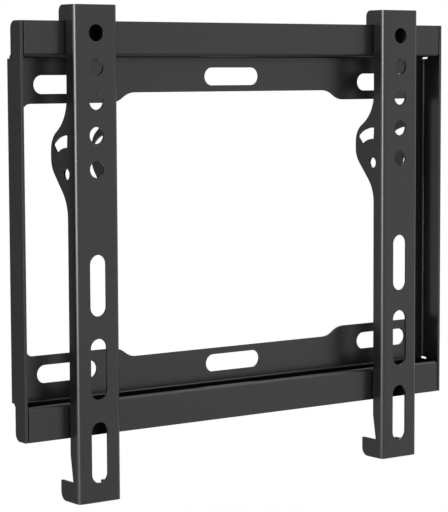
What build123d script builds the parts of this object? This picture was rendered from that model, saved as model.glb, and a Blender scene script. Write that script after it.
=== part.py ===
from build123d import *
import os
from math import acos, cos, degrees, radians, sin

os.makedirs("parts", exist_ok=True)

# Fixed television wall bracket: one folded wall plate, and two folded arms that hang on its top lip.
# The origin is on the wall, at the middle of the plate. +Y goes into the wall, +Z is up. Millimetres.

# Sheet steel, the same in all three pieces
sheet = 1.5
bend_inner = 0.8
bend_outer = bend_inner + sheet

# Wall plate
plate_width = 276.6
plate_height = 210.0
plate_depth = 14.9
lip_height = 17.8
lip_end_seam = 0.7
corner_relief = 0.9
stub_setback = 5.0
stub_corner = 4.0
stub_root = 1.5

# Window in the wall plate, taller in its middle
rail_web = 23.5
window_side_strip = 8.5
window_rise = 5.2
window_end_flat = 52.4
window_blend = 12.0
window_corner = 4.5

# Slots for the wall screws, each with a land between it and the window
wall_slot_length = 36.1
wall_slot_width = 9.4
wall_slot_inset = 33.1
wall_slot_end_land = 4.9
wall_slot_middle_land = 3.3

# Arms, with depths taken back from their front face and drops taken down from their top
arm_spacing = 200.0
arm_width = 25.5
arm_height = 251.0
flange_depth = 8.0
arm_gap = 0.8

# Hook over the top lip
hook_crown = 8.0
hook_corner = 3.4
hook_throat = 0.4
finger_length = 9.0
finger_width = 3.9
finger_clearance = 0.5
finger_tip = 1.2

# Lobe on each flange, which reaches almost to the wall between a shoulder and a hip
lobe_wall_gap = 0.1
lobe_drop = 67.0
lobe_slope_in = 10.4
lobe_height = 14.2
lobe_slope_out = 18.0
lobe_blend = 20.0
lobe_shoulder = 11.0
lobe_hip = 12.0

# Pivot hole in the lobe, with a curved slot around it
pivot_inset = 14.5
pivot_below_shoulder = 17.5
pivot_diameter = 5.8
arc_slot_rim = 1.45
arc_slot_width = 6.2
arc_slot_start = 48.0
arc_slot_sweep = 46.0
arc_slot_corner = 0.6

# Foot of each flange, with heights taken up from the bottom of the arm
left_foot_height = 10.4
right_foot_height = 7.6
foot_rear = 17.4
foot_corner = 4.5
foot_tip = 0.4
foot_throat = 0.6
foot_throat_depth = 5.6
foot_taper_height = 24.5
foot_taper_blend = 6.0

# Holes and slots for the television screws
tv_hole_diameter = 8.5
tv_hole_count = 5
tv_hole_pitch = 17.0
tv_hole_drop = 14.1
tv_slot_length = 31.2
tv_slot_width = 9.7
tv_slot_count = 3
tv_slot_pitch = 42.5
tv_slot_height = 25.4

# Places that follow from the sizes above
lip_top = plate_height / 2
shelf_face = lip_top - lip_height
flange_end = shelf_face - corner_relief
flange_inside = plate_width / 2 - sheet
rail_end = flange_inside - lip_end_seam
window_side = plate_width / 2 - window_side_strip
window_end_top = shelf_face - rail_web
window_middle_top = window_end_top + window_rise
window_blend_angle = acos(1 - window_rise / (2 * window_blend))
window_middle_side = window_side - window_end_flat - 2 * window_blend * sin(window_blend_angle)
wall_slot_end_z = window_end_top + wall_slot_end_land + wall_slot_width / 2
wall_slot_middle_z = window_middle_top + wall_slot_middle_land + wall_slot_width / 2
arm_front = plate_depth + arm_gap + flange_depth
arm_top = lip_top + hook_crown
finger_front = flange_depth + arm_gap + sheet + finger_clearance
finger_rear = finger_front + finger_width
lobe_depth = arm_front - lobe_wall_gap
pivot = (lobe_depth - pivot_inset, -lobe_drop - pivot_below_shoulder)
arc_slot_outer = (pivot_inset - arc_slot_rim) / cos(radians(arc_slot_start))


def channel_section(width, depth):
    """Folded channel that opens towards +y, with the outside of its back on y = 0."""
    outside = width / 2
    inside = outside - sheet
    outline(
        (-outside, depth, 0),
        (-outside, 0, bend_outer),
        (outside, 0, bend_outer),
        (outside, depth, 0),
        (inside, depth, 0),
        (inside, sheet, bend_inner),
        (-inside, sheet, bend_inner),
        (-inside, depth, 0),
    )


def outline(*corners):
    """Closed outline through corners given as (x, y, radius)."""
    with BuildLine() as border:
        FilletPolyline(
            *[(x, y) for x, y, radius in corners],
            radius=[radius for x, y, radius in corners],
            close=True,
        )
    make_face(border.edges())


with BuildPart() as wall_plate:
    # Web on the wall, with a flange folded forward along each side
    with BuildSketch(Plane((0, 0, 0), x_dir=(1, 0, 0), z_dir=(0, 0, -1))):
        channel_section(plate_width, plate_depth)
    extrude(amount=flange_end, both=True)

    # Top rail: a shelf folded forward from the web, and a lip folded up from the shelf
    with BuildSketch(Plane.YZ):
        outline(
            (0, flange_end, 0),
            (0, shelf_face + sheet, bend_outer),
            (sheet - plate_depth, shelf_face + sheet, bend_inner),
            (sheet - plate_depth, lip_top, 0),
            (-plate_depth, lip_top, 0),
            (-plate_depth, shelf_face, bend_outer),
            (-sheet, shelf_face, bend_inner),
            (-sheet, flange_end, 0),
        )
    extrude(amount=rail_end, both=True)

    # Stub that carries each side flange on past the shelf, clear of the wall, and closes the rail's end
    with BuildSketch(Plane.YZ.offset(flange_inside)):
        outline(
            (-plate_depth, flange_end - stub_root, 0),
            (-plate_depth, lip_top, 0),
            (-stub_setback, lip_top, stub_corner),
            (-stub_setback, flange_end, stub_root),
            (-bend_outer, flange_end, 0),
            (-bend_outer, flange_end - stub_root, 0),
        )
    right_stub = extrude(amount=sheet)
    mirror(right_stub, about=Plane.YZ)

    # The bottom rail is the top one upside down
    mirror(about=Plane.XY)

    # Window, with an S-shaped blend at each step between its middle and its ends
    with BuildSketch(Plane.XZ):
        with BuildLine():
            middle = Line((0, window_middle_top), (window_middle_side, window_middle_top))
            fall = JernArc(middle @ 1, middle % 1, window_blend, -degrees(window_blend_angle))
            level = JernArc(fall @ 1, fall % 1, window_blend, degrees(window_blend_angle))
            FilletPolyline(
                level @ 1,
                (window_side, window_end_top),
                (window_side, 0),
                radius=window_corner,
            )
            mirror(about=Plane.XZ)
            mirror(about=Plane.YZ)
        make_face()
    extrude(amount=sheet, mode=Mode.SUBTRACT)

    # Wall slots: one near each corner, and one in the middle of each rail
    with BuildSketch(Plane.XZ):
        with GridLocations(plate_width - 2 * wall_slot_inset, 2 * wall_slot_end_z, 2, 2):
            SlotOverall(wall_slot_length, wall_slot_width)
        with GridLocations(0, 2 * wall_slot_middle_z, 1, 2):
            SlotOverall(wall_slot_length, wall_slot_width)
    extrude(amount=sheet, mode=Mode.SUBTRACT)

wall_plate.part.label = "wall_plate"
export_step(wall_plate.part, "parts/wall_plate.step")


for name, side in (("left_arm", -1), ("right_arm", 1)):
    arm_origin = (side * arm_spacing / 2, -arm_front, arm_top)
    from_above = Plane(arm_origin, x_dir=(1, 0, 0), z_dir=(0, 0, 1))
    from_side = Plane(arm_origin, x_dir=(0, 1, 0), z_dir=(1, 0, 0))
    from_front = Plane(arm_origin, x_dir=(1, 0, 0), z_dir=(0, -1, 0))

    with BuildPart() as arm:
        # Channel as deep as the lobe, each half trimmed to the side view of its flange
        with BuildSketch(from_above):
            channel_section(arm_width, lobe_depth)
        extrude(amount=-arm_height)
        with BuildPart(mode=Mode.INTERSECT):
            for reach, foot_height in ((-arm_width, left_foot_height), (arm_width, right_foot_height)):
                with BuildSketch(from_side):
                    outline(
                        (-sheet, 0, 0),
                        (finger_rear, 0, hook_corner),
                        (finger_rear, -hook_crown - finger_length, finger_tip),
                        (finger_front, -hook_crown - finger_length, finger_tip),
                        (finger_front, -hook_crown, hook_throat),
                        (flange_depth, -hook_crown, hook_throat),
                        (flange_depth, -lobe_drop + lobe_slope_in, lobe_blend),
                        (lobe_depth, -lobe_drop, lobe_shoulder),
                        (lobe_depth, -lobe_drop - lobe_height, lobe_hip),
                        (flange_depth, -lobe_drop - lobe_height - lobe_slope_out, lobe_blend),
                        (flange_depth, foot_taper_height - arm_height, foot_taper_blend),
                        (foot_throat_depth, foot_height - arm_height, foot_throat),
                        (foot_rear, foot_height - arm_height, foot_tip),
                        (foot_rear, -arm_height, foot_corner),
                        (-sheet, -arm_height, 0),
                    )
                extrude(amount=reach)

        # Pivot hole and curved slot through both flanges
        with BuildSketch(from_side):
            with Locations(pivot):
                Circle(pivot_diameter / 2)
            with BuildLine():
                outer = CenterArc(pivot, arc_slot_outer, arc_slot_start, arc_slot_sweep)
                inner = CenterArc(pivot, arc_slot_outer - arc_slot_width, arc_slot_start, arc_slot_sweep)
                Line(outer @ 0, inner @ 0)
                Line(outer @ 1, inner @ 1)
            arc_slot = make_face()
            fillet(arc_slot.vertices(), arc_slot_corner)
        extrude(amount=arm_width, both=True, mode=Mode.SUBTRACT)

        # Round holes and upright slots for the television screws
        with BuildSketch(from_front):
            with Locations(*[(0, -tv_hole_drop - i * tv_hole_pitch) for i in range(tv_hole_count)]):
                Circle(tv_hole_diameter / 2)
            lowest_slot = tv_slot_height - arm_height
            with Locations(*[(0, lowest_slot + i * tv_slot_pitch) for i in range(tv_slot_count)]):
                SlotOverall(tv_slot_length, tv_slot_width, rotation=90)
        extrude(amount=-sheet, mode=Mode.SUBTRACT)

    arm.part.label = name
    export_step(arm.part, f"parts/{name}.step")
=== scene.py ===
import math

import bpy
from mathutils import Matrix, Vector


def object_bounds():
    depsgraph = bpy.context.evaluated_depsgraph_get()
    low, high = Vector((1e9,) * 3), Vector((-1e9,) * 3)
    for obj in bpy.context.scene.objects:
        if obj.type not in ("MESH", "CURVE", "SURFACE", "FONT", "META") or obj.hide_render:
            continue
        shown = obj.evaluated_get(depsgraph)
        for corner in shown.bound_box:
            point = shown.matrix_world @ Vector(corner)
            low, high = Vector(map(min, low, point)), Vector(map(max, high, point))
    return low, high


# Lengths are in metres and angles in degrees, in the frame of the CAD part

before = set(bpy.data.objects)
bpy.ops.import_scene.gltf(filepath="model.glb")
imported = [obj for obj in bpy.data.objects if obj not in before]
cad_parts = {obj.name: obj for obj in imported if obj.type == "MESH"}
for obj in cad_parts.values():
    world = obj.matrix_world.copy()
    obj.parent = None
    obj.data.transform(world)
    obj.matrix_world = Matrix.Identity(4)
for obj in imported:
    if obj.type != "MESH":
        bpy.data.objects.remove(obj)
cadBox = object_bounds()
scene = bpy.context.scene
scene.view_settings.view_transform = "Standard"
print("bracket loaded:", ", ".join(sorted(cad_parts)))


class Wire:  # one socket of a shader, so that its maths reads as plain sums
    def __init__(self, tree, socket=None):
        self.tree, self.socket = tree, socket

    def node(self, kind, settings=None, inputs=None, output=0):
        made = self.tree.nodes.new(kind)
        for name, value in (settings or {}).items():
            setattr(made, name, value)
        for name, value in (inputs or {}).items():
            if isinstance(value, Wire):
                self.tree.links.new(value.socket, made.inputs[name])
            else:
                made.inputs[name].default_value = value
        return Wire(self.tree, made.outputs[output] if made.outputs else None)

    def maths(self, operation, first, second):
        return self.node("ShaderNodeMath", {"operation": operation}, {0: first, 1: second})

    def __add__(self, other):
        return self.maths("ADD", self, other)

    def __radd__(self, other):
        return self.maths("ADD", other, self)

    def __sub__(self, other):
        return self.maths("SUBTRACT", self, other)

    def __rsub__(self, other):
        return self.maths("SUBTRACT", other, self)

    def __mul__(self, other):
        return self.maths("MULTIPLY", self, other)

    def __rmul__(self, other):
        return self.maths("MULTIPLY", other, self)

    def smoothStep(self, low, high):
        return self.node(
            "ShaderNodeMapRange", {"interpolation_type": "SMOOTHSTEP"},
            {"Value": self, "From Min": low, "From Max": high})

    def mixShaders(self, first, second):
        return self.node("ShaderNodeMixShader", inputs={0: self, 1: first, 2: second})

    def end(self, kind):
        self.node(kind, inputs={"Surface": self})


# A Mix node's sockets for colours share their names with others, so they go by number
colourMix = {"factor": 0, "first": 6, "second": 7, "result": 2}


def emptyTree(owner):
    owner.use_nodes = True
    owner.node_tree.nodes.clear()
    return Wire(owner.node_tree)


# Camera, fitted to the corners, slots and holes seen in the photograph
cameraView = {
    "place": (-0.640812, -0.874697, 0.078923),
    "turn": 36.024,
    "down": 5.207,
    "roll": -0.246,
    "focalPixels": 2012.668,
    "imageHeight": 512,
    "sensorSize": 36,
}


def addCamera(look):
    turn, down, roll = (math.radians(look[part]) for part in ("turn", "down", "roll"))
    ahead = Vector((
        math.sin(turn) * math.cos(down), math.cos(turn) * math.cos(down), -math.sin(down)))
    level = Vector((math.cos(turn), -math.sin(turn), 0))
    upright = level.cross(ahead)
    right = level * math.cos(roll) + upright * math.sin(roll)
    top = upright * math.cos(roll) - level * math.sin(roll)
    data = bpy.data.cameras.new("camera")
    data.sensor_width = look["sensorSize"]
    data.lens = look["focalPixels"] / look["imageHeight"] * data.sensor_width
    camera = bpy.data.objects.new("camera", data)
    scene.collection.objects.link(camera)
    camera.matrix_world = Matrix.LocRotScale(
        Vector(look["place"]), Matrix((right, top, -ahead)).transposed(), None)
    scene.camera = camera


addCamera(cameraView)
print("camera placed")


# Satin black powder coat: a soft orange peel, a fine grain, and slow drifts in tone and gloss.
# At a grazing angle the bumps of the grain shade each other, so the gloss fades there.
powderCoat = {
    "darkTone": (0.0028, 0.0028, 0.0029, 1),
    "paleTone": (0.0048, 0.0048, 0.0050, 1),
    "driftShare": 0.5,  # of the tone, and the grain has the rest
    "roughness": 0.29,
    "driftRoughness": 0.05,
    "grainRoughness": 0.06,
    "refraction": 1.57,
    "driftScale": 34,
    "driftDetail": 2.0,
    "peelScale": 600,
    "peelHeight": 0.000015,
    "grainScale": 3600,
    "grainHeight": 0.000016,
    "fineDetail": 1.0,  # of the peel and the grain
    "facingBlend": 0.5,
    "glossFadeFrom": 0.72,
    "glossFadeTo": 0.85,
    "grazingTone": (0.0038, 0.0038, 0.0040, 1),
}
noiseMiddle = 0.5


def makePowderCoat(coat):
    material = bpy.data.materials.new("powderCoat")
    start = emptyTree(material)
    place = start.node("ShaderNodeTexCoord", output="Object")

    def noise(scale, detail):
        return start.node(
            "ShaderNodeTexNoise", inputs={"Vector": place, "Scale": scale, "Detail": detail})

    drift = noise(coat["driftScale"], coat["driftDetail"])
    peel = noise(coat["peelScale"], coat["fineDetail"])
    grain = noise(coat["grainScale"], coat["fineDetail"])
    paleness = drift * coat["driftShare"] + grain * (1 - coat["driftShare"])
    tone = start.node("ShaderNodeMix", {"data_type": "RGBA"}, {
        colourMix["factor"]: paleness,
        colourMix["first"]: coat["darkTone"],
        colourMix["second"]: coat["paleTone"],
    }, colourMix["result"])
    roughness = (
        coat["roughness"]
        + (drift - noiseMiddle) * coat["driftRoughness"]
        + (grain - noiseMiddle) * coat["grainRoughness"])
    height = peel * coat["peelHeight"] + grain * coat["grainHeight"]
    relief = start.node("ShaderNodeBump", inputs={
        "Height": height, "Strength": 1.0, "Distance": 1.0})  # at full height, in metres
    satin = start.node("ShaderNodeBsdfPrincipled", inputs={
        "Base Color": tone, "Roughness": roughness, "Normal": relief, "IOR": coat["refraction"]})
    dull = start.node("ShaderNodeBsdfDiffuse", inputs={
        "Color": coat["grazingTone"], "Normal": relief})
    grazing = start.node(
        "ShaderNodeLayerWeight", inputs={"Blend": coat["facingBlend"]}, output="Facing")
    fade = grazing.smoothStep(coat["glossFadeFrom"], coat["glossFadeTo"])
    fade.mixShaders(satin, dull).end("ShaderNodeOutputMaterial")
    return material


coatMaterial = makePowderCoat(powderCoat)

# The three folded sheets: every cut edge gets the small round that the coating leaves on it
foldedSheets = {
    "nodes": ("wall_plate", "left_arm", "right_arm"),
    "joinWithin": 0.00004,  # clears the tiny edges that the rounds would cross
    "flatWithin": 0.2,
    "edgeRound": 0.0001,
    "edgeSegments": 2,
    "edgeAngle": 40,
    "largeFaceWeight": 100,
}


def finishSheet(piece, sheet):
    piece.data.materials.clear()
    piece.data.materials.append(coatMaterial)
    weld = piece.modifiers.new("joinFaces", "WELD")
    weld.merge_threshold = sheet["joinWithin"]
    flat = piece.modifiers.new("clearFlats", "DECIMATE")
    flat.decimate_type = "DISSOLVE"
    flat.angle_limit = math.radians(sheet["flatWithin"])
    edge = piece.modifiers.new("roundEdges", "BEVEL")
    edge.width = sheet["edgeRound"]
    edge.segments = sheet["edgeSegments"]
    edge.limit_method = "ANGLE"
    edge.angle_limit = math.radians(sheet["edgeAngle"])
    edge.use_clamp_overlap = False
    edge.miter_outer = "MITER_ARC"
    shade = piece.modifiers.new("smoothFaces", "WEIGHTED_NORMAL")
    shade.keep_sharp = False
    shade.weight = sheet["largeFaceWeight"]


for name in foldedSheets["nodes"]:
    finishSheet(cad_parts[name], foldedSheets)
print("sheets coated")


def turnTowards(place, target, front):
    return (Vector(target) - Vector(place)).to_track_quat(front, "Y").to_euler()


def addPlane(name, size, place):
    wide, tall = size[0] / 2, size[1] / 2
    corners = [(-wide, -tall, 0), (wide, -tall, 0), (wide, tall, 0), (-wide, tall, 0)]
    mesh = bpy.data.meshes.new(name)
    mesh.from_pydata(corners, [], [(0, 1, 2, 3)])
    plane = bpy.data.objects.new(name, mesh)
    scene.collection.objects.link(plane)
    plane.location = place
    return plane


# A pale floor well below the bracket, which fades into the white surround
paleFloor = {
    "drop": 0.36,
    "size": (6.0, 6.0),
    "tone": (0.82, 0.82, 0.82, 1),
    "fadeFrom": 0.7,
    "fadeTo": 1.6,
}


def addFloor(look):
    low, high = cadBox
    middle = (low + high) / 2
    floor = addPlane("floor", look["size"], (middle.x, middle.y, low.z - look["drop"]))
    material = bpy.data.materials.new("paleFloor")
    start = emptyTree(material)
    place = start.node("ShaderNodeTexCoord", output="Object")
    away = start.node(
        "ShaderNodeVectorMath", {"operation": "LENGTH"}, {0: place}, output="Value")
    pale = start.node("ShaderNodeBsdfDiffuse", inputs={"Color": look["tone"]})
    clear = start.node("ShaderNodeBsdfTransparent")
    fade = away.smoothStep(look["fadeFrom"], look["fadeTo"])
    fade.mixShaders(pale, clear).end("ShaderNodeOutputMaterial")
    floor.data.materials.append(material)


# The surround is white to the eye and in the sheen, and lights the bracket more gently
surround = {"tone": (1, 1, 1, 1), "fill": 0.25, "white": 1.0}


def addWorld(look):
    world = bpy.data.worlds.new("surround")
    scene.world = world
    start = emptyTree(world)
    seen = start.node("ShaderNodeLightPath", output="Is Camera Ray")
    mirrored = start.node("ShaderNodeLightPath", output="Is Glossy Ray")
    through = start.node("ShaderNodeLightPath", output="Is Transmission Ray")
    strength = look["fill"] + (seen + mirrored + through) * (look["white"] - look["fill"])
    light = start.node(
        "ShaderNodeBackground", inputs={"Color": look["tone"], "Strength": strength})
    light.end("ShaderNodeOutputWorld")


# A grey card behind the bracket, seen only in the sheen of the side flanges
greyCard = {
    "place": (-0.52, 2.95, 0.5),
    "towards": (0, 0, 0.5),
    "size": (3.62, 3.4),
    "tone": (0.15, 0.15, 0.15, 1),
}


def addGreyCard(look):
    card = addPlane("greyCard", look["size"], look["place"])
    card.rotation_euler = turnTowards(look["place"], look["towards"], "Z")
    material = bpy.data.materials.new("greyCard")
    start = emptyTree(material)
    glow = start.node("ShaderNodeEmission", inputs={"Color": look["tone"]})
    glow.end("ShaderNodeOutputMaterial")
    card.data.materials.append(material)
    card.visible_camera = False
    card.visible_diffuse = False
    card.visible_shadow = False


# Soft lights: a low softbox on the left draws the bright line down the left bends,
# and one at the upper right draws the line along the bottom lip's bend
softLights = {
    "leftBox": {
        "place": (-1.41, -0.66, 0.20),
        "towards": (0, 0, 0),
        "size": (0.78, 0.9),
        "power": 27.8,
    },
    "rightBox": {
        "place": (1.20, -0.25, 1.05),
        "towards": (0, 0, 0),
        "size": (1.0, 1.0),
        "power": 4.5,
    },
}


def addSoftLight(name, look):
    data = bpy.data.lights.new(name, "AREA")
    data.shape = "RECTANGLE"
    data.size, data.size_y = look["size"]
    data.energy = look["power"]
    light = bpy.data.objects.new(name, data)
    scene.collection.objects.link(light)
    light.location = look["place"]
    light.rotation_euler = turnTowards(look["place"], look["towards"], "-Z")


addFloor(paleFloor)
addWorld(surround)
addGreyCard(greyCard)
for name, look in softLights.items():
    addSoftLight(name, look)
print("stage lit")
